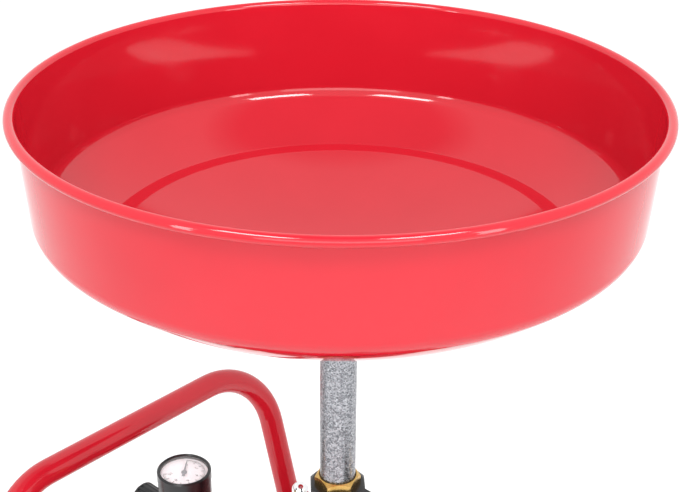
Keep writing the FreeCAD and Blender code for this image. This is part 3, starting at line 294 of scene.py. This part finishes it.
def lathe(name, profile, segments, matrix=None):
    """A closed profile of (radius, height) spun about Z."""
    bm = bmesh.new()
    rings = []
    for i in range(segments):
        a = 2 * math.pi * i / segments
        rings.append([bm.verts.new((r * math.cos(a), r * math.sin(a), z)) for r, z in profile])
    count = len(profile)
    for i in range(segments):
        here, there = rings[i], rings[(i + 1) % segments]
        for j in range(count):
            k = (j + 1) % count
            bm.faces.new((here[j], there[j], there[k], here[k]))
    bmesh.ops.remove_doubles(bm, verts=bm.verts, dist=SAME_PLACE)
    bmesh.ops.recalc_face_normals(bm, faces=bm.faces)
    if matrix is not None:
        bm.transform(matrix)
    mesh = bpy.data.meshes.new(name)
    bm.to_mesh(mesh)
    bm.free()
    return mesh


# ---------------------------------------------------------------- catch pan

PAN_SHEET = 1.5 * MM
BEAD = 5 * MM  # radius of the rolled bead
FLARE = 0.068  # the wall's outward run per unit of height
BEND = 21 * MM  # radius between the wall and the shoulder
SHOULDER, SLOPE = 250 * MM, 0.91  # radius of the shoulder, and its slope where it meets the bend
SHOULDER_RUN = 115 * MM  # from the shoulder's centre out to the ring
LAND, RING_RISE = 9 * MM, 1.4 * MM  # width and height of the ring between shoulder and dish
DISH_DROP = 41 * MM  # how far the hub lies below the ring
HUB, DRAIN = 60 * MM, 24 * MM
TURN_STEPS = 360  # faces round the pan


def along(cx, cz, radius, start, stop, steps):
    """Points along an arc about (cx, cz), from the direction of one point to that of another."""
    first = math.atan2(start[1] - cz, start[0] - cx)
    last = math.atan2(stop[1] - cz, stop[0] - cx)
    sweep = [first + (last - first) * i / steps for i in range(steps + 1)]
    return [(cx + radius * math.cos(a), cz + radius * math.sin(a)) for a in sweep]


def pan_skin(sheet):
    """One skin of the bowl from hub to wall top: dish, ring, shoulder, bend and flared wall."""
    rim, base = PAN_HIGH.x, PAN_LOW.z
    lean, steep = math.hypot(1, FLARE), math.hypot(1, SLOPE)
    wall_x, wall_z = rim - 2 * BEAD + PAN_SHEET, RIM_TOP - BEAD
    down_x, down_z = SLOPE / steep, 1 / steep
    far = SHOULDER - BEND
    shoulder_z = base + DISH_DROP + RING_RISE + math.sqrt(SHOULDER**2 - SHOULDER_RUN**2)
    bend_z = shoulder_z - far * down_z
    bend_x = wall_x - FLARE * (wall_z - bend_z) - BEND * lean
    shoulder_x = bend_x - far * down_x
    ring = shoulder_x + SHOULDER_RUN
    inner = ring - LAND
    rise = (inner**2 - HUB**2 - DISH_DROP**2) / (2 * DISH_DROP)
    dish_z, dish = base + DISH_DROP + rise, math.hypot(rise, inner)
    foot = math.sqrt((dish - sheet) ** 2 - (dish_z - base - sheet) ** 2)
    knee = (bend_x + BEND * down_x, bend_z - BEND * down_z)
    heel = (bend_x + BEND / lean, bend_z - BEND * FLARE / lean)
    ring_foot = (ring, base + DISH_DROP + RING_RISE)
    return [
        (DRAIN, base + sheet),
        *along(0, dish_z, dish - sheet, (foot, base + sheet), (inner, base + DISH_DROP), 40),
        *along(shoulder_x, shoulder_z, SHOULDER - sheet, ring_foot, knee, 28),
        *along(bend_x, bend_z, BEND - sheet, knee, heel, 16)[1:],
        (wall_x - sheet, wall_z),
    ]


def pan_profile():
    """Half section of the spun bowl, both skins and the rolled bead."""
    bead_x, bead_z = PAN_HIGH.x - BEAD, RIM_TOP - BEAD
    return [
        *pan_skin(0),
        *arc(bead_x, bead_z, BEAD - PAN_SHEET, 180, -120, 24),
        *arc(bead_x, bead_z, BEAD, -120, 180, 32),
        *pan_skin(PAN_SHEET)[::-1],
    ]


new_piece("spun_pan", lathe("spun_pan", pan_profile(), TURN_STEPS), "red_enamel", "pan", "pan_bowl")


# ---------------------------------------------------------------- gauge dial

DIAL_LOW, DIAL_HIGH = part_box("gauge_dial")
DIAL_MIDDLE = (DIAL_LOW + DIAL_HIGH) / 2
DIAL_AT = Matrix.Translation((DIAL_MIDDLE.x, DIAL_MIDDLE.y, DIAL_HIGH.z))
DIAL_BODY = BODY_OF["gauge_dial"]
ZERO, SWEEP = 40.0, 260.0  # degrees from +X where the scale starts, and how far it runs clockwise
TICKS, TICKS_PER_MAJOR = 50, 5
MAJOR_FROM, MINOR_FROM, TICK_TO = 18.6 * MM, 20.6 * MM, 23.0 * MM
MAJOR_HALF, MINOR_HALF = 0.42 * MM, 0.2 * MM
LINE_FROM, LINE_TO, LINE_STEPS = 22.9 * MM, 23.3 * MM, 90
INK_LOW, INK_HIGH = 0.01 * MM, 0.08 * MM
FIGURES, FIGURE_STEP = 5, 2  # numerals after the zero, and the units between them
FIGURE_RADIUS, FIGURE_SIZE = 15.2 * MM, 5.6 * MM
FIGURE_LEVEL, FIGURE_HALF = 0.05 * MM, 0.03 * MM


def dial_angle(part):
    """The angle in radians of a part of the scale, from 0 at its zero to 1 at its end."""
    return math.radians(ZERO - SWEEP * part)


def plate(bm, corners, low, high):
    """A thin flat plate between two heights."""
    under = [bm.verts.new((x, y, low)) for x, y in corners]
    over = [bm.verts.new((x, y, high)) for x, y in corners]
    bm.faces.new(over)
    bm.faces.new(under[::-1])
    for i in range(len(corners)):
        j = (i + 1) % len(corners)
        bm.faces.new((under[i], under[j], over[j], over[i]))


def dial_marks():
    """Ticks and scale line, printed a hair above the dial."""
    bm = bmesh.new()
    for i in range(TICKS + 1):
        a = dial_angle(i / TICKS)
        major = i % TICKS_PER_MAJOR == 0
        inner = MAJOR_FROM if major else MINOR_FROM
        half = MAJOR_HALF if major else MINOR_HALF
        away = Vector((math.cos(a), math.sin(a)))
        aside = Vector((-math.sin(a), math.cos(a))) * half
        corners = [
            away * inner - aside,
            away * TICK_TO - aside,
            away * TICK_TO + aside,
            away * inner + aside,
        ]
        plate(bm, corners, INK_LOW, INK_HIGH)
    turns = [dial_angle(i / LINE_STEPS) for i in range(LINE_STEPS + 1)]
    for a, b in zip(turns, turns[1:]):
        ends = ((LINE_FROM, b), (LINE_TO, b), (LINE_TO, a), (LINE_FROM, a))
        plate(bm, [(r * math.cos(t), r * math.sin(t)) for r, t in ends], INK_LOW, INK_HIGH)
    mesh = bpy.data.meshes.new("dial_marks")
    bm.to_mesh(mesh)
    bm.free()
    mesh.transform(DIAL_AT)
    return mesh


def numeral(text, a):
    """One dial numeral as a mesh, its top towards -Y."""
    face = bpy.data.curves.new("numeral", "FONT")
    face.body, face.size, face.extrude = text, FIGURE_SIZE, FIGURE_HALF
    face.align_x, face.align_y = "CENTER", "CENTER"
    holder = bpy.data.objects.new("numeral", face)
    mesh = bpy.data.meshes.new_from_object(holder)
    bpy.data.objects.remove(holder)
    bpy.data.curves.remove(face)
    spot = Vector((FIGURE_RADIUS * math.cos(a), FIGURE_RADIUS * math.sin(a), FIGURE_LEVEL))
    mesh.transform(DIAL_AT @ Matrix.Translation(spot) @ Matrix.Rotation(math.pi, 4, "Z"))
    return mesh


new_piece("dial_marks", dial_marks(), "dial_ink", DIAL_BODY)
for i in range(FIGURES + 1):
    value = FIGURE_STEP * i
    figure = numeral(str(value), dial_angle(i / FIGURES))
    new_piece(f"dial_figure_{value}", figure, "dial_ink", DIAL_BODY)


# ---------------------------------------------------------------- tyres


RIB_GROOVES = (-9.5 * MM, 0.0, 9.5 * MM)  # middles of the grooves, across the tread
GROOVE_DEEP, GROOVE_HALF, GROOVE_TAPER = 2.4 * MM, 1.6 * MM, 0.6
TREAD_SHOULDER = 6 * MM  # radius at the edges of the tread
SIDEWALL_DROP = 14 * MM  # from the tread down to where the flat sidewall ends
BEAD_FLAT, BEAD_EASE, BEAD_SEAT = 8 * MM, 2 * MM, 6 * MM
RIM_CLEARANCE = 0.1 * MM
TYRE_STEPS = 120


def ribbed_tyre(side):
    """Solid tyre: rounded shoulders and four tread ribs parted by grooves."""
    low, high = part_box(f"{side}_tyre")
    rim_low, rim_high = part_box(f"{side}_wheel_rim")
    outer, half = (high.z - low.z) / 2, (high.x - low.x) / 2
    bore = (rim_high.z - rim_low.z) / 2
    tread = []
    for middle in RIB_GROOVES:
        foot = GROOVE_HALF * GROOVE_TAPER
        tread += [
            (outer, middle - GROOVE_HALF),
            (outer - GROOVE_DEEP, middle - foot),
            (outer - GROOVE_DEEP, middle + foot),
            (outer, middle + GROOVE_HALF),
        ]
    corner = outer - TREAD_SHOULDER
    seat = [
        (bore + RIM_CLEARANCE, half - BEAD_SEAT),
        (bore + BEAD_EASE, half - BEAD_EASE),
        (bore + BEAD_FLAT, half),
        (outer - SIDEWALL_DROP, half),
    ]
    profile = [
        *[(r, -across) for r, across in seat],
        *arc(corner, TREAD_SHOULDER - half, TREAD_SHOULDER, -90, 0, 8),
        *tread,
        *arc(corner, half - TREAD_SHOULDER, TREAD_SHOULDER, 0, 90, 8),
        *seat[::-1],
    ]
    onto_axle = Matrix.Translation((low + high) / 2) @ Matrix.Rotation(math.pi / 2, 4, "Y")
    name = f"{side}_ribbed_tyre"
    mesh = lathe(name, profile, TYRE_STEPS, onto_axle)
    new_piece(name, mesh, "tyre_rubber", BODY_OF[f"{side}_tyre"], f"{side}_tyre")


for side in ("left", "right"):
    ribbed_tyre(side)


# ---------------------------------------------------------------- stage, camera and light

AIM = Vector((0, 0, RIM_TOP - 0.1597))
AZIMUTH, ELEVATION, ROLL = math.radians(-47.58), math.radians(26.77), math.radians(0.46)
DISTANCE = 1.2928
LENS_MM, SENSOR_MM = 70.1, 36.0

turn = Matrix.Rotation(AZIMUTH, 4, "Z")
tilt = Matrix.Rotation(math.pi / 2 - ELEVATION, 4, "X")
roll = Matrix.Rotation(ROLL, 4, "Z")
orbit = Matrix.Translation(AIM) @ turn @ tilt

camera_data = bpy.data.cameras.new("camera")
camera_data.lens = LENS_MM
camera_data.sensor_width = SENSOR_MM
camera = bpy.data.objects.new("camera", camera_data)
bpy.context.scene.collection.objects.link(camera)
camera.matrix_world = orbit @ Matrix.Translation((0, 0, DISTANCE)) @ roll
bpy.context.scene.camera = camera

LIT_POINT = Vector((0, 0, RIM_TOP - 0.1))  # every softbox faces the middle of the pan


def softbox(name, along_view, across_view, above_rim, width, height, watts):
    """A rectangular studio light, placed in metres from the pan: along the view, to its right, up."""
    light = bpy.data.lights.new(name, "AREA")
    light.shape = "RECTANGLE"
    light.size, light.size_y = width, height
    light.energy = watts
    lamp = bpy.data.objects.new(name, light)
    bpy.context.scene.collection.objects.link(lamp)
    spot = turn @ Vector((across_view, along_view, 0)) + Vector((0, 0, RIM_TOP + above_rim))
    lamp.location = spot
    lamp.rotation_euler = (spot - LIT_POINT).to_track_quat("Z", "Y").to_euler()


# two high boxes show in the pan's inner wall, and two tall strips edge its outer wall
softbox("key_left", -1.15, -0.8, 1.9, 0.8, 0.5, 30)
softbox("key_right", -1.15, 0.8, 1.9, 0.8, 0.5, 30)
softbox("front_fill", -2.6, 0.0, 0.6, 2.4, 1.2, 24)
softbox("strip_left", -1.5, -1.55, 0.1, 0.22, 1.5, 9)
softbox("strip_right", -1.5, 1.45, 0.1, 0.3, 1.5, 9)

FLOOR_HALF = 12.0

floor_mesh = bpy.data.meshes.new("studio_floor")
floor_corners = [
    (-FLOOR_HALF, -FLOOR_HALF, 0),
    (FLOOR_HALF, -FLOOR_HALF, 0),
    (FLOOR_HALF, FLOOR_HALF, 0),
    (-FLOOR_HALF, FLOOR_HALF, 0),
]
floor_mesh.from_pydata(floor_corners, [], [(0, 1, 2, 3)])
floor = bpy.data.objects.new("studio_floor", floor_mesh)
bpy.context.scene.collection.objects.link(floor)
# seamless background paper: matt white
paper = new_finish("studio_paper", {"Roughness": 0.9, "Base Color": linear("#fafafa"), "IOR": 1.3})[0]
floor_mesh.materials.append(paper)

WHITE_UP_TO = 0.88  # sine of the height where the white backdrop ends and the darker ceiling starts
BACKDROP_EDGE = 0.06
STUDIO_STRENGTH = 1.22

world = bpy.data.worlds.new("studio")
world.use_nodes = True
sky = world.node_tree
way = add(sky, "ShaderNodeTexCoord")
parts = add(sky, "ShaderNodeSeparateXYZ", {"Vector": way.outputs["Generated"]})
dome = add(sky, "ShaderNodeValToRGB", {"Fac": parts.outputs["Z"]})
dome.color_ramp.elements[0].position = WHITE_UP_TO
dome.color_ramp.elements[0].color = linear("#ffffff")
dome.color_ramp.elements[1].position = WHITE_UP_TO + BACKDROP_EDGE
dome.color_ramp.elements[1].color = linear("#a2a2a6")
sky.links.new(dome.outputs["Color"], sky.nodes["Background"].inputs["Color"])
sky.nodes["Background"].inputs["Strength"].default_value = STUDIO_STRENGTH
bpy.context.scene.world = world
bpy.context.scene.view_settings.view_transform = "Standard"
